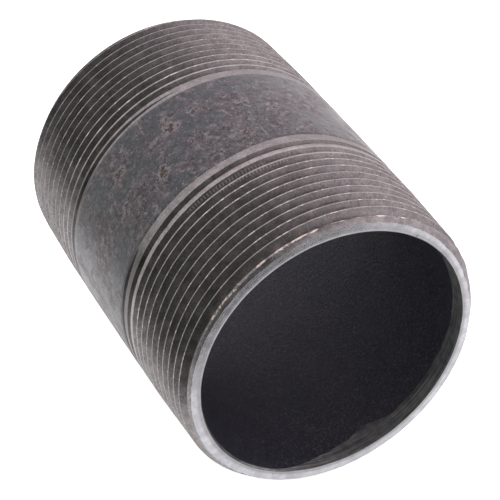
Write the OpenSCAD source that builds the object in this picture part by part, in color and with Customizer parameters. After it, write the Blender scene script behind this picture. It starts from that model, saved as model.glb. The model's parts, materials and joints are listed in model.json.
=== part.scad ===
// Threaded pipe nipple: a short length of schedule 40 steel pipe, nominal size 2, with a taper
// pipe thread on both ends, right hand at the front and left hand at the rear, and a plain band
// of untouched pipe between them.
// The bore runs along Y through the origin, the +Y and -Y ends are the two faces, +Z is up.

/* [Pipe] */
// Outside diameter of the pipe
pipe_od = 60.325; // [60:0.025:60.6]
// Wall thickness of the pipe
pipe_wall = 3.912; // [3.4:0.01:4.3]
// Length from face to face
length = 76.2; // [76.2:6.35:152.4]

/* [Thread] */
// Threads in 25.4 mm
threads_per_inch = 11.5; // [11:0.5:12]
// Pitch diameter of the thread at the end face
pitch_d = 57.56; // [57.4:0.02:57.7]
// Distance from the front face to the end of the machined length
front_thread_l = 27.4; // [26:0.1:28]
// Distance from the rear face to the end of the machined length
rear_thread_l = 26.1; // [26:0.1:28]
// Depth of the flat cut off each thread crest
crest_cut = 0.17; // [0.08:0.01:0.2]
// Depth of the flat left at each thread root
root_cut = 0.08; // [0.06:0.01:0.15]
// Gap between the turned crests and the pipe's own surface
turned_step = 0.08; // [0.04:0.01:0.15]

/* [Ends] */
// Outside radius of the flat end faces
face_r = 28.45; // [28.3:0.05:28.8]
// Length of the outer chamfer at each end
chamfer_l = 2; // [1.6:0.1:2.4]
// Radius of the reamed mouth at each face
mouth_r = 26.55; // [26.4:0.05:26.8]
// Length of the reamed mouth
mouth_l = 3.6; // [2:0.2:5]

/* [Hidden] */
pipe_r = pipe_od / 2;
bore_r = pipe_r - pipe_wall;
pitch = 25.4 / threads_per_inch;
sharp_h = pitch * sqrt(3) / 2;   // height of the sharp 60 degree form
taper = 1 / 32;                  // radius gained for each mm along the thread
turned_r = pipe_r - turned_step; // the crests are never cut above this radius
steps = 36;                      // flats in one turn of the helix
rows = 4;                        // groove start, root start, root end, groove end
spare_turns = 2;                 // turns of helix beyond each end of the machined length

// Each end's cut: [crest at angle 0, turns of groove, last turns, pull, drift, fade]. Over the
// last turns the tool is pulled back and drifts from the true helix, by "pull" and "drift" in
// each turn, and the groove dies out over the last "fade" of a turn.
front_cut = [-0.92, 11.68, 1.9, 0.26, 0.48, 0.05];
rear_cut = [0.748, 11.59, 1.2, 0.48, -0.27, 0.14];
sliver = 0.03;                   // half the width of a row that has no groove

clear = 0.3;                     // how far the end envelope passes outside the crests
over = 1;                        // how far a cutting or cut-off shape runs past what it cuts
fine = 120;                      // flats round every turned shape

function pitch_r(z) = pitch_d / 2 + taper * z;
function crest_r(z) = min(pitch_r(z) + sharp_h / 2 - crest_cut, turned_r);

// How far the tool stands back from full depth, where "left" is turns to the end of the groove.
function standback(left, cut) =
    let (early = cut[3] * max(cut[2] - left, 0),
         out = pow(1 - min(max(left / cut[5], 0), 1), 1.4))
    early + out * (sharp_h - early);

// Axial place and radius of one row, where z is the groove's centre on the true helix. Past its
// end the groove goes on as a sliver with no depth, so that the rows stay apart.
function row_point(z, row, cut) =
    let (left = cut[1] - z / pitch,
         centre = z + cut[4] * max(cut[2] - left, 0),
         top_r = crest_r(centre),
         depth = max(top_r - pitch_r(centre) + sharp_h / 2 - standback(left, cut), 0),
         top_w = max(depth / sqrt(3), 2 * sliver),
         floor_w = max(min(root_cut, depth) / sqrt(3), sliver),
         floor_r = top_r - max(depth - root_cut, 0))
    row == 0 ? [centre - top_w, top_r] :
    row == 1 ? [centre - floor_w, floor_r] :
    row == 2 ? [centre + floor_w, floor_r] :
    [centre + top_w, top_r];

// A solid rod with the helical thread on it, longer than the threaded end at both ends.
module threaded_rod(machined_l, cut) {
    first = -spare_turns;                             // whole turns before the end face
    top = steps * (ceil(machined_l / pitch) + 2 * spare_turns);  // last step of the helix
    body = top - steps;                               // last step that has all the rows
    z_at = function (i) cut[0] + pitch * (first + 0.5 + i / steps);
    spot = function (i, zr) [zr[1] * cos(360 * i / steps), zr[1] * sin(360 * i / steps), zr[0]];
    at = function (i, row) row == rows ? at_row0(i + steps, body) : at_row0(i, body) + row;
    low = [0, 0, z_at(steps / 2)];
    high = [0, 0, z_at(body + steps / 2)];
    points = [
        for (i = [0:body], row = [0:rows - 1]) spot(i, row_point(z_at(i), row, cut)),
        for (i = [body + 1:top]) spot(i, row_point(z_at(i), 0, cut)),
        low, high
    ];
    n = len(points);
    faces = [
        for (i = [0:body - 1], row = [0:rows - 1])
            each [[at(i, row), at(i + 1, row + 1), at(i + 1, row)],
                  [at(i, row), at(i, row + 1), at(i + 1, row + 1)]],
        for (i = [0:steps - 1]) [n - 2, at_row0(i, body), at_row0(i + 1, body)],
        for (row = [0:rows - 1]) [n - 2, at(0, row + 1), at(0, row)],
        for (i = [body:top - 1]) [n - 1, at_row0(i + 1, body), at_row0(i, body)],
        for (row = [0:rows - 1]) [n - 1, at(body, row), at(body, row + 1)]
    ];
    polyhedron(points, faces, convexity = 20);
}

// Index of the first row's point on step i, where only the first body steps have every row.
function at_row0(i, body) = i <= body ? i * rows : (body + 1) * rows + i - body - 1;

// A shape turned from its outline of radius and height, with a flat of it underneath, not an edge.
module turned(outline) {
    rotate([0, 0, 180 / fine]) rotate_extrude($fn = fine) polygon(outline);
}

// Envelope of one end: face, chamfer, then clear of the crests up to just past the thread.
module end_envelope(machined_l) {
    chamfer_slope = (crest_r(chamfer_l) - face_r) / chamfer_l;
    shoulder = [crest_r(chamfer_l) + clear, chamfer_l + clear / chamfer_slope];
    turned([[0, 0], [face_r, 0], shoulder, [pipe_r + over, shoulder[1]],
            [pipe_r + over, machined_l + over], [0, machined_l + over]]);
}

module threaded_end(machined_l, cut) {
    intersection() {
        threaded_rod(machined_l, cut);
        end_envelope(machined_l);
    }
}

module plain_band() {
    turned([[0, front_thread_l], [pipe_r, front_thread_l],
            [pipe_r, length - rear_thread_l], [0, length - rear_thread_l]]);
}

// The bore and its two reamed mouths, with the front face at z = 0.
module bore() {
    turned([[0, -over], [mouth_r, -over], [mouth_r, 0], [bore_r, mouth_l], [bore_r, length - mouth_l],
            [mouth_r, length], [mouth_r, length + over], [0, length + over]]);
}

module pipe_nipple() {
    color("dimgray")
    rotate([-90, 0, 0])
    translate([0, 0, -length / 2])
    difference() {
        union() {
            plain_band();
            threaded_end(front_thread_l, front_cut);
            translate([0, 0, length]) mirror([0, 0, 1])
                threaded_end(rear_thread_l, rear_cut);
        }
        bore();
    }
}

pipe_nipple();
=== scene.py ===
"""Threaded pipe nipple: finely meshed threads, chamfers and bore, with bare, scaled and oily steel."""

import json
import math

import bmesh
import bpy
import numpy as np
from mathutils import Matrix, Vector


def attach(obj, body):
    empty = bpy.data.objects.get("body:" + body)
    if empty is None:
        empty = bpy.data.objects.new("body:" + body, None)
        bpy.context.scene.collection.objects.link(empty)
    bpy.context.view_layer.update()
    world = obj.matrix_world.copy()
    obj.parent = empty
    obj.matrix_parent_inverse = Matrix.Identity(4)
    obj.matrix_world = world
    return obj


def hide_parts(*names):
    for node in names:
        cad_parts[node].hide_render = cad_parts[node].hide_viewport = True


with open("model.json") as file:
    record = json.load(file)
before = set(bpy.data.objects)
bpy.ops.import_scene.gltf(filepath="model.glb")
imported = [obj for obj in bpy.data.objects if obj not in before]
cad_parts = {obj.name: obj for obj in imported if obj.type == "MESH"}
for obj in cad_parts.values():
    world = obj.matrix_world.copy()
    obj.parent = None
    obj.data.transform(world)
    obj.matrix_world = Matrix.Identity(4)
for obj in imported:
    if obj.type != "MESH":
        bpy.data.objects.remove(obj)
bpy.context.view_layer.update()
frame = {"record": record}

MM = 0.001
MOUNTS = {mount["name"]: mount for mount in frame["record"]["mounts"]}
PIPE_R = MOUNTS["plain_band"]["dims"]["r_mm"] * MM
BORE_R = MOUNTS["bore"]["dims"]["r_mm"] * MM
LENGTH = 2 * abs(MOUNTS["front_thread"]["pos_m"][1])

# The taper thread, with the same sizes as the CAD model.
PITCH = 25.4 / 11.5 * MM
SHARP_H = PITCH * math.sqrt(3) / 2
TAPER = 1 / 32
PITCH_R = 28.78 * MM
CREST_CUT = 0.17 * MM
ROOT_CUT = 0.08 * MM
TURNED_R = PIPE_R - 0.08 * MM
FACE_R = 28.45 * MM
CHAMFER_L = 2.0 * MM
MOUTH_R = 26.55 * MM
MOUTH_L = 3.6 * MM

# The top left of the front end, which the camera faces, as a turn round that end.
TOP_LEFT = 0.667

# Points round every ring.
STEPS = 416
SEED = 11


# ---------------------------------------------------------------- smooth random shapes


def round_noise(turn, cells, seed):
    """Smooth noise from -1 to 1 round the pipe, where turn is the angle in turns."""
    table = np.random.default_rng(seed).uniform(-1, 1, cells)
    x = np.mod(turn, 1.0) * cells
    cell = np.floor(x).astype(int)
    t = x - cell
    t = t * t * (3 - 2 * t)
    return table[cell % cells] * (1 - t) + table[(cell + 1) % cells] * t


def skin_noise(turn, along, cells, cell_l, seed):
    """Smooth noise from -1 to 1 over the pipe's skin."""
    rows = 256
    table = np.random.default_rng(seed).uniform(-1, 1, (rows, cells))
    x = np.mod(turn, 1.0) * cells
    y = np.mod(along / cell_l, rows)
    cx, cy = np.floor(x).astype(int), np.floor(y).astype(int)
    tx, ty = x - cx, y - cy
    tx, ty = tx * tx * (3 - 2 * tx), ty * ty * (3 - 2 * ty)
    low = table[cy % rows, cx % cells] * (1 - tx) + table[cy % rows, (cx + 1) % cells] * tx
    high = table[(cy + 1) % rows, cx % cells] * (1 - tx) + table[(cy + 1) % rows, (cx + 1) % cells] * tx
    return low * (1 - ty) + high * ty


def window(turn, start, stop, soft=0.015):
    """1 between two turns round the pipe and 0 outside them, with soft ends."""
    middle, half = (start + stop) / 2, (stop - start) / 2
    away = np.abs(np.mod(turn - middle + 0.5, 1.0) - 0.5)
    t = np.clip((half - away) / soft, 0, 1)
    return t * t * (3 - 2 * t)


# ---------------------------------------------------------------- threads


class End:
    """One threaded end, in its own terms: turn round the axis, and distance along from its face.

    side is -1 for the front end and 1 for the rear one, crest0 is the crest's place at turn 0, and
    turns is the length of the groove. Over the last_turns the tool is pulled back and drifts from
    the true helix, by pull and drift in each turn, and the groove dies out over the last fade.
    """

    def __init__(self, side, machined_l, crest0, turns, last_turns, pull, drift, fade, seed):
        self.side = side
        self.machined_l = machined_l
        self.crest0 = crest0
        self.turns, self.last_turns = turns, last_turns
        self.pull, self.drift, self.fade = pull, drift, fade
        self.seed = seed

    def place(self, turn, along, radius):
        """Points in the part's frame."""
        angle = 2 * np.pi * turn
        x = radius * np.cos(angle)
        z = -radius * np.sin(angle)
        y = self.side * (LENGTH / 2 - along)
        return np.stack(np.broadcast_arrays(x, y, z), axis=-1)

    def band_edge(self, turn):
        """Where the machined length ends, which wavers a little round the pipe."""
        waver = 0.1 * MM * round_noise(turn, 14, self.seed + 1)
        if self.side > 0:
            return self.machined_l + waver
        short = 0.55 * MM * window(turn, TOP_LEFT - 0.14, TOP_LEFT + 0.1, 0.08)
        return self.machined_l - short + waver

    def groove(self, k, turn):
        """Centre of groove k at this turn, its depth as a sharp vee, and the crest's radius there."""
        true_centre = self.crest0 + PITCH * (k + 0.5 + turn)
        left = self.turns - true_centre / PITCH
        centre = true_centre + self.drift * np.maximum(self.last_turns - left, 0)
        early = self.pull * np.maximum(self.last_turns - left, 0)
        standback = early + (1 - np.clip(left / self.fade, 0, 1)) ** 1.4 * (SHARP_H - early)
        top = crest_radius(centre)
        depth = np.maximum(top - PITCH_R - TAPER * centre + SHARP_H / 2 - standback, 0)
        return centre, depth, top


def crest_radius(along):
    return np.minimum(PITCH_R + TAPER * along + SHARP_H / 2 - CREST_CUT, TURNED_R)


def thread_radius(end, turn, along):
    """Radius of the threaded surface, with its chamfer and with the knocks that its crests have had."""
    nearest = np.round((along - end.crest0) / PITCH - turn - 0.5)
    radius = crest_radius(along)
    for k in (nearest - 1, nearest, nearest + 1):
        centre, depth, top = end.groove(k, turn)
        wall = top - depth + math.sqrt(3) * np.abs(along - centre)
        radius = np.minimum(radius, np.maximum(wall, top - depth + ROOT_CUT))
    helix = (along - end.crest0) / PITCH
    on_crest = np.clip((radius - crest_radius(along) + 0.3 * MM) / (0.3 * MM), 0, 1)
    radius = radius - on_crest * crest_wear(end, np.round(helix - turn) + turn)
    slope = (crest_radius(CHAMFER_L) - FACE_R) / CHAMFER_L
    off_centre = 0.1 * MM * (1 + np.cos(2 * np.pi * (turn - TOP_LEFT - 0.18)))
    chamfer = FACE_R - off_centre + slope * along
    return np.minimum(radius, chamfer + first_ridge(end, turn, along))


KNOCKS = 50


def crest_wear(end, helix_turns):
    """How far the crest is cut back: fine unevenness everywhere, and small knocks in places."""
    rng = np.random.default_rng(end.seed)
    wear = 0.015 * MM * (1 + skin_noise(helix_turns, helix_turns * 0, 150, 1.0, end.seed + 3))
    spots = rng.uniform(0, 13, KNOCKS)
    widths = rng.uniform(0.001, 0.003, KNOCKS)
    depths = rng.uniform(0.03, 0.14, KNOCKS) * MM
    for spot, width, depth in zip(spots, widths, depths):
        away = (helix_turns - spot) / width
        wear = np.maximum(wear, depth * np.exp(-(away**2)))
    return wear


def first_ridge(end, turn, along):
    """Rough tool marks on the chamfer, and the torn burr along the corner of the first ridge."""
    rough = 0.03 * MM * skin_noise(turn, along, 100, 0.45 * MM, end.seed + 2)
    if end.side < 0:
        torn = window(turn, TOP_LEFT - 0.04, TOP_LEFT + 0.3, 0.03)
    else:
        torn = window(turn, 0.1, 0.35)
    lumps = np.clip(0.4 + skin_noise(turn, along * 0, 120, 1.0, end.seed + 4), 0, 2)
    corner = np.exp(-(((along - 0.95 * MM) / (0.3 * MM)) ** 2))
    inside = np.clip(along / (0.25 * MM), 0, 1)
    return inside * (rough + 0.34 * MM * torn * lumps * corner)


ROWS_IN_TURN = 7
THINNEST_GROOVE = 0.06 * MM


def thread_rows(end):
    """Rows of points that follow the helix, as turn and along, clamped to the threaded length."""
    turn = np.arange(STEPS) / STEPS
    along = []
    for k in range(-2, math.ceil(end.machined_l / PITCH) + 2):
        centre, depth, _ = end.groove(k, turn)
        next_centre, next_depth, _ = end.groove(k + 1, turn)
        top = np.maximum(depth / math.sqrt(3), THINNEST_GROOVE)
        next_top = np.maximum(next_depth / math.sqrt(3), THINNEST_GROOVE)
        floor = np.minimum(ROOT_CUT / math.sqrt(3), top / 2)
        crest_middle = (centre + top + next_centre - next_top) / 2
        along += [
            centre - top,
            centre - (top + floor) / 2,
            centre - floor,
            centre + floor,
            centre + (top + floor) / 2,
            centre + top,
            crest_middle,
        ]
    return turn, np.clip(np.array(along), 0, end.band_edge(turn))


def threaded_sheet(end):
    """Grid of points on one threaded end, from the face to the plain band."""
    turn, along = thread_rows(end)
    turn = np.broadcast_to(turn, along.shape)
    radius = thread_radius(end, turn, along)
    radius = np.where(along >= end.band_edge(turn), TURNED_R, radius)
    return end.place(turn, along, radius)


def face_edge(end, turn):
    """Outer radius of the end face. Each nick leaves an open slit, up to 0.11 mm, to the chamfer."""
    nicks = np.clip(round_noise(turn, 190, end.seed + 14) - 0.1, 0, 1)
    return thread_radius(end, turn, 0 * turn) - 0.12 * MM * nicks


# ---------------------------------------------------------------- the pipe's other surfaces


def ring(end, along, radius):
    turn = np.arange(STEPS) / STEPS
    return end.place(turn, along + 0 * turn, radius + 0 * turn)


def mouth_edge(end, turn):
    """Radius of the mouth at the face, which was cut slightly off centre."""
    offset = -0.2 * MM * np.cos(2 * np.pi * (turn - TOP_LEFT))
    return MOUTH_R - 0.05 * MM + offset + 0.03 * MM * round_noise(turn, 60, end.seed + 6)


def face_sheet(end):
    """The flat end face, faintly rippled, with a small worn bevel down to the mouth."""
    turn = np.arange(STEPS) / STEPS
    ripple = 0.006 * MM * (1 + round_noise(turn, 80, end.seed + 5))
    mouth = mouth_edge(end, turn)
    return np.array(
        [
            ring(end, 0, face_edge(end, turn)),
            ring(end, ripple, FACE_R - 0.75 * MM),
            ring(end, ripple, FACE_R - 1.15 * MM),
            ring(end, ripple, mouth + 0.42 * MM),
            ring(end, ripple + 0.01 * MM, mouth + 0.34 * MM),
            ring(end, 0.09 * MM, mouth + 0.04 * MM),
            ring(end, 0.16 * MM, mouth),
        ]
    )


def mouth_sheet(end):
    """The reamed mouth, which ends in a ragged line a few millimetres in."""
    turn = np.arange(STEPS) / STEPS
    mouth = mouth_edge(end, turn)
    deep = ream_depth(end, turn)
    rows = [ring(end, 0.16 * MM, mouth)]
    for part in (0.15, 0.4, 0.7, 1.0):
        rows.append(ring(end, deep * part, mouth + (BORE_R - mouth) * part))
    return np.array(rows)


def ream_depth(end, turn):
    """Depth of the reamed mouth, which is deep on one side only and ends in a ragged line."""
    lopsided = window(turn, TOP_LEFT + 0.18, TOP_LEFT + 0.66, 0.11)
    tongue = np.exp(-(((np.mod(turn - TOP_LEFT, 1.0) - 0.525) / 0.02) ** 2))
    slow = round_noise(turn, 17, end.seed + 7)
    quick = round_noise(turn, 130, end.seed + 8)
    return MOUTH_L * (0.1 + lopsided * (0.78 + 0.05 * slow + 0.035 * quick) + 0.42 * tongue)


def bore_sheet(front, rear):
    """The untouched bore between the two reamed mouths."""
    turn = np.arange(STEPS) / STEPS
    start = ream_depth(front, turn)
    stop = LENGTH - ream_depth(rear, turn)
    rows = []
    for part in np.linspace(0, 1, 14):
        along = start + (stop - start) * part
        lumps = 0.03 * MM * skin_noise(turn, along, 40, 4 * MM, SEED + 9)
        rows.append(ring(front, along, BORE_R + lumps * (0 < part < 1)))
    return np.array(rows)


def band_sheet(front, rear):
    """The plain band, with a small step down to the turned metal at each end."""
    turn = np.arange(STEPS) / STEPS
    start = front.band_edge(turn)
    stop = LENGTH - rear.band_edge(turn)
    edge = 0.12 * MM
    rows = [ring(front, start, TURNED_R)]
    for part in np.linspace(0, 1, 36):
        along = start + edge + (stop - start - 2 * edge) * part
        fine = 0.014 * MM * skin_noise(turn, along, 160, 0.9 * MM, SEED + 10)
        broad = 0.02 * MM * skin_noise(turn, along, 24, 5 * MM, SEED + 12)
        rows.append(ring(front, along, PIPE_R - 0.034 * MM + fine + broad))
    rows.append(ring(front, stop, TURNED_R))
    return np.array(rows)


# ---------------------------------------------------------------- one mesh


class Skin:
    """Collects sheets of points that close round the pipe, then joins them into one mesh."""

    def __init__(self):
        self.points, self.quads, self.slots, self.count = [], [], [], 0

    def add(self, sheet, slot, seam_shift=0):
        """seam_shift is how many rows further on a sheet's last column meets its first."""
        rows, steps = sheet.shape[:2]
        number = self.count + np.arange(rows * steps).reshape(rows, steps)
        self.count += rows * steps
        self.points.append(sheet.reshape(-1, 3))
        here, onward = number[:-1], number[1:]
        quads = np.stack([here[:, :-1], here[:, 1:], onward[:, 1:], onward[:, :-1]], -1)
        self.keep(quads, slot)
        last = rows - seam_shift
        seam = np.stack(
            [
                number[: last - 1, -1],
                number[seam_shift : rows - 1, 0],
                number[seam_shift + 1 :, 0],
                number[1:last, -1],
            ],
            -1,
        )
        self.keep(seam, slot)

    def keep(self, quads, slot):
        quads = quads.reshape(-1, 4)
        self.quads.append(quads)
        self.slots.append(np.full(len(quads), slot))

    def build(self, name, materials):
        mesh = bpy.data.meshes.new(name)
        quads = np.concatenate(self.quads)
        mesh.from_pydata(np.concatenate(self.points).tolist(), [], quads.tolist())
        for material in materials:
            mesh.materials.append(material)
        mesh.polygons.foreach_set("material_index", np.concatenate(self.slots))
        shape = bmesh.new()
        shape.from_mesh(mesh)
        bmesh.ops.remove_doubles(shape, verts=shape.verts, dist=0.0005 * MM)
        bmesh.ops.dissolve_degenerate(shape, edges=shape.edges, dist=0.0005 * MM)
        bmesh.ops.recalc_face_normals(shape, faces=shape.faces)
        shape.to_mesh(mesh)
        shape.free()
        mesh.shade_smooth()
        mesh.set_sharp_from_angle(angle=math.radians(26))
        piece = bpy.data.objects.new(name, mesh)
        bpy.context.scene.collection.objects.link(piece)
        return piece


THREAD, BAND, FACE, MOUTH, BORE = range(5)


def nipple(materials):
    front = End(
        side=-1,
        machined_l=27.3 * MM,
        crest0=-0.92 * MM,
        turns=11.68,
        last_turns=1.9,
        pull=0.26 * MM,
        drift=0.48 * MM,
        fade=0.05,
        seed=SEED,
    )
    rear = End(
        side=1,
        machined_l=26.1 * MM,
        crest0=0.748 * MM,
        turns=11.59,
        last_turns=1.2,
        pull=0.48 * MM,
        drift=-0.27 * MM,
        fade=0.14,
        seed=SEED + 50,
    )
    skin = Skin()
    for end in (front, rear):
        skin.add(threaded_sheet(end), THREAD, ROWS_IN_TURN)
        skin.add(face_sheet(end), FACE)
        skin.add(mouth_sheet(end), MOUTH)
    skin.add(band_sheet(front, rear), BAND)
    skin.add(bore_sheet(front, rear), BORE)
    return skin.build("nipple_body", materials)


# ---------------------------------------------------------------- materials


class Nodes:
    """A short way to write a material's or a world's node tree."""

    def __init__(self, owner):
        owner.use_nodes = True
        self.tree = owner.node_tree
        self.tree.nodes.clear()

    def add(self, kind, settings=(), **sockets):
        """Makes a node. Sockets are given by name with _ for a space, or by number as s0, s1."""
        made = self.tree.nodes.new("ShaderNode" + kind)
        for key, value in dict(settings).items():
            setattr(made, key, value)
        for key, value in sockets.items():
            numbered = key[0] == "s" and key[1:].isdigit()
            socket = made.inputs[int(key[1:]) if numbered else key.replace("_", " ")]
            self.feed(socket, value)
        return made

    def feed(self, socket, value):
        if isinstance(value, bpy.types.NodeSocket):
            self.tree.links.new(value, socket)
        elif isinstance(value, bpy.types.Node):
            self.tree.links.new(value.outputs[0], socket)
        else:
            socket.default_value = value

    def math(self, operation, a, b=0.0, c=0.0):
        return self.add("Math", {"operation": operation}, s0=a, s1=b, s2=c)

    def product(self, first, *others):
        for other in others:
            first = self.math("MULTIPLY", first, other)
        return first

    def largest(self, first, *others):
        for other in others:
            first = self.math("MAXIMUM", first, other)
        return first

    def ramp(self, value, low, high, out_low=0.0, out_high=1.0):
        """Smooth step of value between low and high."""
        settings = {"interpolation_type": "SMOOTHSTEP"}
        return self.add("MapRange", settings, s0=value, s1=low, s2=high, s3=out_low, s4=out_high)

    def mix(self, factor, a, b):
        made = self.add("Mix", {"data_type": "RGBA"})
        self.feed(made.inputs[0], factor)
        self.feed(made.inputs[6], a)
        self.feed(made.inputs[7], b)
        return made.outputs[2]

    def noise(self, vector, scale, detail=3.0, rough=0.55):
        return self.add("TexNoise", Vector=vector, Scale=scale, Detail=detail, Roughness=rough)

    def scaled(self, vector, x, y, z):
        return self.add("Mapping", {"vector_type": "POINT"}, Vector=vector, Scale=(x, y, z))

    def bump(self, height, distance, strength=1.0, normal=None):
        made = self.add("Bump", Height=height, Distance=distance, Strength=strength)
        if normal is not None:
            self.feed(made.inputs["Normal"], normal)
        return made

    def place(self):
        """Position on the part, in metres."""
        return self.add("TexCoord").outputs["Object"]

    def axes(self, position):
        """x, y and z of a position."""
        return self.add("SeparateXYZ", Vector=position).outputs

    def output(self, shader):
        self.add("OutputMaterial", Surface=shader)


def rgb(red, green, blue):
    """A colour from its 0 to 255 display values, as linear light."""
    values = [v / 255 for v in (red, green, blue)]
    return tuple(v / 12.92 if v <= 0.04045 else ((v + 0.055) / 1.055) ** 2.4 for v in values) + (1.0,)


def distance_in(nodes, position):
    """Distance along the pipe from the nearer face."""
    return nodes.math("SUBTRACT", LENGTH / 2, nodes.math("ABSOLUTE", nodes.axes(position)[1]))


def distance_out(nodes, position):
    """Distance out from the pipe's axis."""
    x, y, z = nodes.axes(position)
    flat = nodes.add("CombineXYZ", X=x, Y=0.0, Z=z)
    return nodes.add("VectorMath", {"operation": "LENGTH"}, s0=flat).outputs["Value"]


def tool_marks(nodes, position, fine):
    """Fine grooves that run round the pipe, as a tool leaves them."""
    stretched = nodes.scaled(position, 90, fine, 90)
    return nodes.noise(stretched, 1.0, 4.0, 0.6)


# The rows of chatter marks: distance in from the front face in mm, middle angle from the top and
# half the row's width in degrees.
CHATTER_ROWS = (
    (22.1, -23.0, 17.0),
    (20.3, -13.0, 14.0),
)


def chatter(nodes, position):
    """Rows of short marks across the last two crests of the front thread, where the tool juddered."""
    x, y, z = nodes.axes(position)
    along = nodes.math("ADD", y, LENGTH / 2)
    angle = nodes.math("DEGREES", nodes.math("ARCTAN2", x, z))
    marks = nodes.ramp(nodes.math("SINE", nodes.math("MULTIPLY", angle, 4.8)), -0.1, 0.7)
    patch = 0.0
    for row_along, middle, half in CHATTER_ROWS:
        off_along = nodes.math("DIVIDE", nodes.math("SUBTRACT", along, row_along * MM), 0.19 * MM)
        off_angle = nodes.math("DIVIDE", nodes.math("SUBTRACT", angle, middle), half)
        off_along = nodes.math("POWER", off_along, 2.0)
        off_angle = nodes.math("POWER", off_angle, 4.0)
        row = nodes.ramp(nodes.math("ADD", off_along, off_angle), 1.2, 0.7)
        patch = nodes.largest(patch, row)
    return nodes.product(marks, patch)


def left_side(nodes, position):
    """1 on the pipe's left side, with a ragged edge."""
    x = nodes.axes(position)[0]
    ragged = nodes.math("MULTIPLY_ADD", nodes.noise(position, 260.0, 4.0, 0.6), 7.0 * MM, x)
    return nodes.ramp(ragged, -20.5 * MM, -23.5 * MM)


def torn_metal_and_glint(nodes, position, inward):
    """The bright, torn burr along the corner of the first ridge at the top of the front end: torn bare
    metal, and partly a painted highlight where light from above catches it.
    """
    x, y, z = nodes.axes(position)
    lumps = nodes.ramp(nodes.noise(position, 520.0, 3.0, 0.7), 0.49, 0.54)
    corner = nodes.math("MULTIPLY_ADD", nodes.noise(position, 160.0, 2.0), 0.5 * MM, 1.05 * MM)
    corner = nodes.math("MULTIPLY_ADD", x, 0.014, corner)
    off = nodes.math("ABSOLUTE", nodes.math("SUBTRACT", inward, corner))
    off = nodes.math("MULTIPLY_ADD", nodes.noise(position, 900.0, 2.0), -0.9 * MM, off)
    line = nodes.ramp(off, 0.02 * MM, -0.14 * MM)
    top = nodes.ramp(z, 12.0 * MM, 17.0 * MM)
    front = nodes.ramp(y, 0.0, -10.0 * MM)
    return nodes.product(lumps, line, top, front)


def crest_mask(nodes, inward, radius):
    """1 on the flat crests of the threads, and 0 in the grooves and beside the plain band."""
    crest_r = nodes.math("MULTIPLY_ADD", inward, TAPER, PITCH_R + SHARP_H / 2 - CREST_CUT)
    crest_r = nodes.math("MINIMUM", crest_r, TURNED_R)
    high = nodes.ramp(nodes.math("SUBTRACT", crest_r, radius), 0.1 * MM, 0.03 * MM)
    return nodes.product(high, nodes.ramp(inward, 24.0 * MM, 22.8 * MM))


def darkened_strip(nodes, position, inward, colour):
    """Darkens the machined strip beside the plain band, most of all on its left."""
    left_darkening = nodes.product(nodes.ramp(inward, 23.6 * MM, 24.6 * MM), left_side(nodes, position), 0.65)
    colour = nodes.mix(left_darkening, colour, rgb(72, 68, 68))
    right = nodes.ramp(nodes.axes(position)[0], -12.0 * MM, 24.0 * MM, 0.0, 0.6)
    dull = nodes.product(nodes.ramp(inward, 22.9 * MM, 23.9 * MM), right)
    return nodes.mix(dull, colour, rgb(104, 100, 100))


def thread_steel():
    """Cut steel under a film of oil, faintly pink, with bright nicks along the crests. The lighter
    crests and the near-white nicks and burr are bare metal, and partly a painted highlight.
    """
    material = bpy.data.materials.new("cut_steel")
    nodes = Nodes(material)
    position = nodes.place()
    inward = distance_in(nodes, position)
    crest = crest_mask(nodes, inward, distance_out(nodes, position))
    blotch = nodes.noise(position, 420.0, 4.0, 0.6)
    grit = nodes.noise(position, 2600.0, 4.0, 0.75)
    grime = nodes.ramp(blotch, 0.35, 0.7)
    flank = nodes.mix(grime, rgb(121, 118, 119), rgb(148, 144, 145))
    # The lighter crest colour is worn bare metal, and partly a painted highlight along the crests.
    bright = nodes.mix(grime, rgb(138, 133, 133), rgb(166, 161, 160))
    colour = nodes.mix(crest, flank, bright)
    colour = nodes.mix(nodes.ramp(grit, 0.52, 0.72, 0.0, 0.6), colour, rgb(188, 183, 181))
    colour = nodes.mix(nodes.ramp(grit, 0.48, 0.3, 0.0, 0.7), colour, rgb(82, 79, 79))
    colour = darkened_strip(nodes, position, inward, colour)

    # Near-white nicks on the crests: bare metal, and partly a painted highlight.
    nicks = nodes.ramp(nodes.noise(position, 800.0, 3.0), 0.56, 0.64)
    nicks = nodes.product(crest, nicks, nodes.ramp(inward, 21.0 * MM, 19.5 * MM))
    judder = nodes.product(chatter(nodes, position), 0.6)
    burr = nodes.largest(nicks, torn_metal_and_glint(nodes, position, inward))
    raised = nodes.largest(burr, judder)
    colour = nodes.mix(judder, colour, rgb(178, 171, 168))
    # The near-white colour of the torn burr and the nicks is partly a painted highlight.
    colour = nodes.mix(burr, colour, rgb(238, 226, 218))

    bump = nodes.bump(tool_marks(nodes, position, 9000), 0.02 * MM, 0.5)
    bump = nodes.bump(grit, 0.05 * MM, 0.8, bump)
    bump = nodes.bump(raised, 0.08 * MM, 1.0, bump)
    rough = nodes.largest(nodes.ramp(blotch, 0.3, 0.75, 0.3, 0.42), nodes.product(raised, 0.6))
    shader = nodes.add(
        "BsdfPrincipled",
        Base_Color=colour,
        Metallic=nodes.math("MULTIPLY_ADD", raised, -0.8, 1.0),
        Roughness=rough,
        Normal=bump,
    )
    nodes.output(shader)
    return material


# The larger scabs on the plain band: distance in from the front face in mm, angle from the top in
# degrees, and radius in mm.
SCABS = (
    (42.6, -25, 1.1),
    (43.2, -15, 0.9),
    (34.2, -37, 1.2),
    (43.0, -50, 1.1),
    (37.5, 12, 0.8),
    (31.0, -5, 0.8),
    (36.0, -55, 0.9),
)


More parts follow.
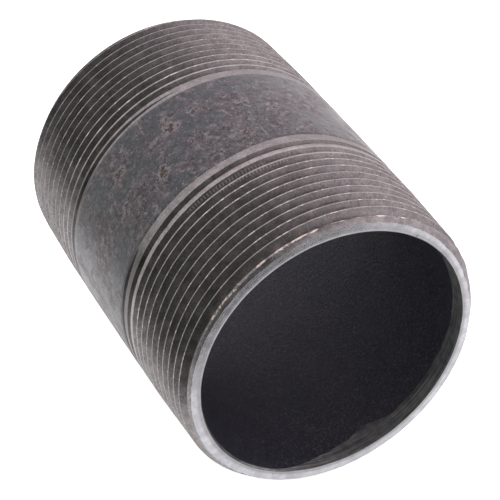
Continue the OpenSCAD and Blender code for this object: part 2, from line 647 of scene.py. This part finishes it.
def scab_masks(nodes, position):
    """Ragged patches where scale was rolled in or flaked off, and the pale rims round them."""
    wobble = nodes.noise(position, 700.0, 4.0, 0.7).outputs["Color"]
    wobble = nodes.add("VectorMath", {"operation": "SUBTRACT"}, s0=wobble, s1=(0.5, 0.5, 0.5))
    wobble = nodes.add("VectorMath", {"operation": "SCALE"}, s0=wobble, Scale=5.0 * MM)
    bent = nodes.add("VectorMath", {"operation": "ADD"}, s0=position, s1=wobble)
    loose = nodes.noise(position, 360.0, 4.0, 0.65)
    mask, rim = nodes.ramp(loose, 0.68, 0.71), nodes.ramp(loose, 0.64, 0.67)
    for along, angle, size in SCABS:
        x, z = PIPE_R * math.sin(math.radians(angle)), PIPE_R * math.cos(math.radians(angle))
        centre = Vector((x, along * MM - LENGTH / 2, z))
        away = nodes.add("VectorMath", {"operation": "DISTANCE"}, s0=bent, s1=centre).outputs["Value"]
        mask = nodes.largest(mask, nodes.ramp(away, size * MM, 0.8 * size * MM))
        rim = nodes.largest(rim, nodes.ramp(away, 1.45 * size * MM, 1.25 * size * MM))
    return mask, rim


def veins(nodes, position, scale, width):
    """Thin wandering lines."""
    off = nodes.math("SUBTRACT", nodes.noise(position, scale, 4.0, 0.65), 0.5)
    return nodes.ramp(nodes.math("ABSOLUTE", off), width, width * 0.3)


def mill_scale():
    """Smooth blue-grey oxide, worn rosy in patches, with flecks, veins, scabs and scratches."""
    material = bpy.data.materials.new("mill_scale")
    nodes = Nodes(material)
    position = nodes.place()
    worn = nodes.ramp(nodes.noise(position, 190.0, 5.0, 0.65), 0.45, 0.55)
    mottle = nodes.noise(position, 850.0, 6.0, 0.75)
    flecks = nodes.noise(nodes.scaled(position, 1.0, 0.6, 1.0), 2300.0, 5.0, 0.75)
    scratches = nodes.noise(nodes.scaled(position, 1500, 70, 1500), 1.0, 3.0, 0.6)
    colour = nodes.mix(worn, rgb(57, 61, 66), rgb(84, 78, 83))
    pale = nodes.product(nodes.ramp(mottle, 0.5, 0.62), nodes.math("MULTIPLY_ADD", worn, 0.55, 0.3))
    colour = nodes.mix(pale, colour, rgb(126, 122, 126))
    colour = nodes.mix(nodes.ramp(mottle, 0.47, 0.36, 0.0, 0.8), colour, rgb(38, 36, 40))
    pits = veins(nodes, position, 420.0, 0.024)
    pits = nodes.product(pits, nodes.math("MULTIPLY_ADD", worn, 0.6, 0.3))
    colour = nodes.mix(pits, colour, rgb(38, 31, 31))
    colour = nodes.mix(nodes.ramp(flecks, 0.6, 0.7, 0.0, 0.8), colour, rgb(172, 168, 170))
    colour = nodes.mix(nodes.ramp(scratches, 0.66, 0.74, 0.0, 0.4), colour, rgb(156, 149, 149))
    scabs, rims = scab_masks(nodes, position)
    colour = nodes.mix(nodes.product(rims, 0.6), colour, rgb(140, 131, 132))
    rust = nodes.mix(nodes.ramp(flecks, 0.42, 0.6), rgb(30, 25, 26), rgb(84, 62, 56))
    colour = nodes.mix(scabs, colour, rust)
    bump = nodes.bump(mottle, 0.16 * MM, 0.7)
    bump = nodes.bump(flecks, 0.04 * MM, 0.7, bump)
    bump = nodes.bump(pits, 0.08 * MM, 0.8, bump)
    bump = nodes.bump(scabs, 0.12 * MM, 1.0, bump)
    rough = nodes.ramp(worn, 0.0, 1.0, 0.34, 0.5)
    shader = nodes.add(
        "BsdfPrincipled",
        Base_Color=colour,
        Metallic=0.7,
        Roughness=rough,
        Normal=bump,
        Coat_Weight=0.3,
        Coat_Roughness=0.3,
    )
    nodes.output(shader)
    return material


def turned_face():
    """The flat end faces, bright from the cutter, with faint rings and a few dark specks."""
    material = bpy.data.materials.new("turned_face")
    nodes = Nodes(material)
    position = nodes.place()
    radius = distance_out(nodes, position)
    blotch = nodes.noise(position, 420.0, 4.0, 0.6)
    colour = nodes.mix(nodes.ramp(blotch, 0.35, 0.7), rgb(166, 167, 172), rgb(190, 190, 195))
    lip = nodes.ramp(radius, MOUTH_R + 0.95 * MM, MOUTH_R + 0.3 * MM)
    colour = nodes.mix(nodes.product(lip, 0.5), colour, rgb(112, 110, 108))
    specks = nodes.noise(position, 1500.0, 2.0)
    colour = nodes.mix(nodes.ramp(specks, 0.7, 0.74), colour, rgb(60, 55, 52))
    outward = nodes.product(radius, 7000)
    rings = nodes.add("TexNoise", {"noise_dimensions": "1D"}, W=outward, Detail=2.0)
    bump = nodes.bump(rings, 0.008 * MM, 0.4)
    bump = nodes.bump(nodes.noise(position, 1800.0, 3.0), 0.004 * MM, 0.3, bump)
    shader = nodes.add("BsdfPrincipled", Base_Color=colour, Metallic=1.0, Roughness=0.2, Normal=bump)
    nodes.output(shader)
    return material


def reamed_mouth():
    """The reamed mouth, dull grey, with the reamer's marks running round it."""
    material = bpy.data.materials.new("reamed_mouth")
    nodes = Nodes(material)
    position = nodes.place()
    blotch = nodes.noise(position, 600.0, 4.0, 0.6)
    marks = tool_marks(nodes, position, 5000)
    colour = nodes.mix(nodes.ramp(blotch, 0.35, 0.7), rgb(95, 97, 99), rgb(132, 133, 133))
    colour = nodes.mix(nodes.ramp(marks, 0.5, 0.66, 0.0, 0.6), colour, rgb(166, 166, 165))
    colour = nodes.mix(nodes.ramp(marks, 0.5, 0.38, 0.0, 0.6), colour, rgb(58, 58, 61))
    bump = nodes.bump(marks, 0.05 * MM, 0.9)
    shader = nodes.add("BsdfPrincipled", Base_Color=colour, Metallic=0.35, Roughness=0.55, Normal=bump)
    nodes.output(shader)
    return material


def oily_bore():
    """The bore: nearly black, blue-violet oiled scale with a fine grain and small wrinkles."""
    material = bpy.data.materials.new("oily_bore")
    nodes = Nodes(material)
    position = nodes.place()
    grain = nodes.noise(position, 2000.0, 4.0, 0.8)
    broad = nodes.noise(position, 160.0, 3.0, 0.6)
    colour = nodes.mix(nodes.ramp(broad, 0.4, 0.62), rgb(38, 40, 52), rgb(49, 47, 61))
    colour = nodes.mix(nodes.ramp(grain, 0.5, 0.66, 0.0, 0.9), colour, rgb(88, 86, 104))
    colour = nodes.mix(nodes.ramp(grain, 0.48, 0.34, 0.0, 0.8), colour, rgb(13, 13, 19))
    folds = nodes.math("SUBTRACT", nodes.noise(position, 260.0, 3.0, 0.6), 0.5)
    folds = nodes.ramp(nodes.math("ABSOLUTE", folds), 0.012, 0.0)
    folds = nodes.product(folds, nodes.ramp(nodes.noise(position, 90.0, 1.0), 0.56, 0.66))
    colour = nodes.mix(nodes.product(folds, 0.6), colour, rgb(16, 15, 18))
    bump = nodes.bump(grain, 0.24 * MM, 0.8)
    bump = nodes.bump(folds, 0.12 * MM, 0.9, bump)
    shader = nodes.add("BsdfPrincipled", Base_Color=colour, Metallic=0.2, Roughness=0.5, Normal=bump)
    nodes.output(shader)
    return material


# ---------------------------------------------------------------- stage, light and camera


# Directions in the room: two dark screens in front of the part, and the side that the light is on.
CAMERA_SIDE = Vector((-0.55, -0.72, 0.42)).normalized()
FRONT_BELOW = Vector((0.1, -0.8, -0.6)).normalized()
KEY_SIDE = Vector((0.8, 0.3, 0.5)).normalized()
SCREEN_LEVEL = 0.2
COOL_TINT = (0.97, 1.0, 0.96, 1.0)
WARM_TINT = (1.06, 0.97, 1.0, 1.0)


def studio_world():
    """Soft white all round, brightest to the right, with dark screens, plain where seen directly."""
    world = bpy.data.worlds.new("studio")
    bpy.context.scene.world = world
    nodes = Nodes(world)
    direction = nodes.add("TexCoord").outputs["Generated"]

    def toward(centre):
        dot = nodes.add("VectorMath", {"operation": "DOT_PRODUCT"}, s0=direction, s1=centre)
        return dot.outputs["Value"]

    key = nodes.math("MULTIPLY_ADD", toward(KEY_SIDE), 0.42, 1.05)
    below = nodes.ramp(nodes.axes(direction)[2], -0.6, 0.05, 0.6, 1.0)
    camera_screen = nodes.ramp(toward(CAMERA_SIDE), 0.42, 0.8, 1.0, SCREEN_LEVEL)
    low_screen = nodes.ramp(toward(FRONT_BELOW), 0.6, 0.85, 1.0, SCREEN_LEVEL)
    level = nodes.product(key, below, camera_screen, low_screen)
    tint = nodes.mix(nodes.ramp(toward(KEY_SIDE), -0.6, 0.6), COOL_TINT, WARM_TINT)
    surround = nodes.add("Background", Color=tint, Strength=level)
    backdrop = nodes.add("Background", Color=(1.0, 1.0, 1.0, 1.0), Strength=1.0)
    seen = nodes.add("LightPath").outputs["Is Camera Ray"]
    both = nodes.add("MixShader", s0=seen, s1=surround, s2=backdrop)
    nodes.add("OutputWorld", Surface=both)


CAMERA_YAW = math.radians(-25.67)
CAMERA_PITCH = math.radians(37.11)
CAMERA_AWAY = 379.2 * MM
CAMERA_LENS = 140.9
AIM = Vector((0.66, -1.54, -1.44)) * MM
PAPER = {"left": -0.095, "right": 0.13, "near": -0.0745, "far": 0.15}


def pale_floor(low_z):
    """A sheet of white paper, square to the camera, that glows enough to match the backdrop."""
    material = bpy.data.materials.new("pale_paper")
    nodes = Nodes(material)
    shader = nodes.add(
        "BsdfPrincipled",
        Base_Color=(0.62, 0.62, 0.62, 1.0),
        Roughness=0.8,
        Emission_Color=(1.0, 1.0, 1.0, 1.0),
        Emission_Strength=0.92,
    )
    nodes.output(shader)
    mesh = bpy.data.meshes.new("floor")
    sides = (("left", "near"), ("right", "near"), ("right", "far"), ("left", "far"))
    corners = [(PAPER[across], PAPER[back], 0) for across, back in sides]
    mesh.from_pydata(corners, [], [(0, 1, 2, 3)])
    mesh.materials.append(material)
    floor = bpy.data.objects.new("floor", mesh)
    floor.location = (0.0, 0.0, low_z)
    floor.rotation_euler = (0.0, 0.0, CAMERA_YAW)
    bpy.context.scene.collection.objects.link(floor)


def camera():
    """Looks down at the front face from its left, as a product photograph does."""
    level = math.cos(CAMERA_PITCH)
    back = Vector((math.sin(CAMERA_YAW) * level, -math.cos(CAMERA_YAW) * level, math.sin(CAMERA_PITCH)))
    data = bpy.data.cameras.new("camera")
    data.sensor_width = 36
    data.lens = CAMERA_LENS
    data.clip_start = 0.01
    data.clip_end = 10
    view = bpy.data.objects.new("camera", data)
    view.location = AIM + back * CAMERA_AWAY
    view.rotation_euler = (-back).to_track_quat("-Z", "Y").to_euler()
    bpy.context.scene.collection.objects.link(view)
    bpy.context.scene.camera = view


camera()
studio_world()
pale_floor(-PIPE_R)
body = nipple([thread_steel(), mill_scale(), turned_face(), reamed_mouth(), oily_bore()])
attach(body, "root")
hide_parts("pipe_nipple")
bpy.context.scene.view_settings.view_transform = "Standard"
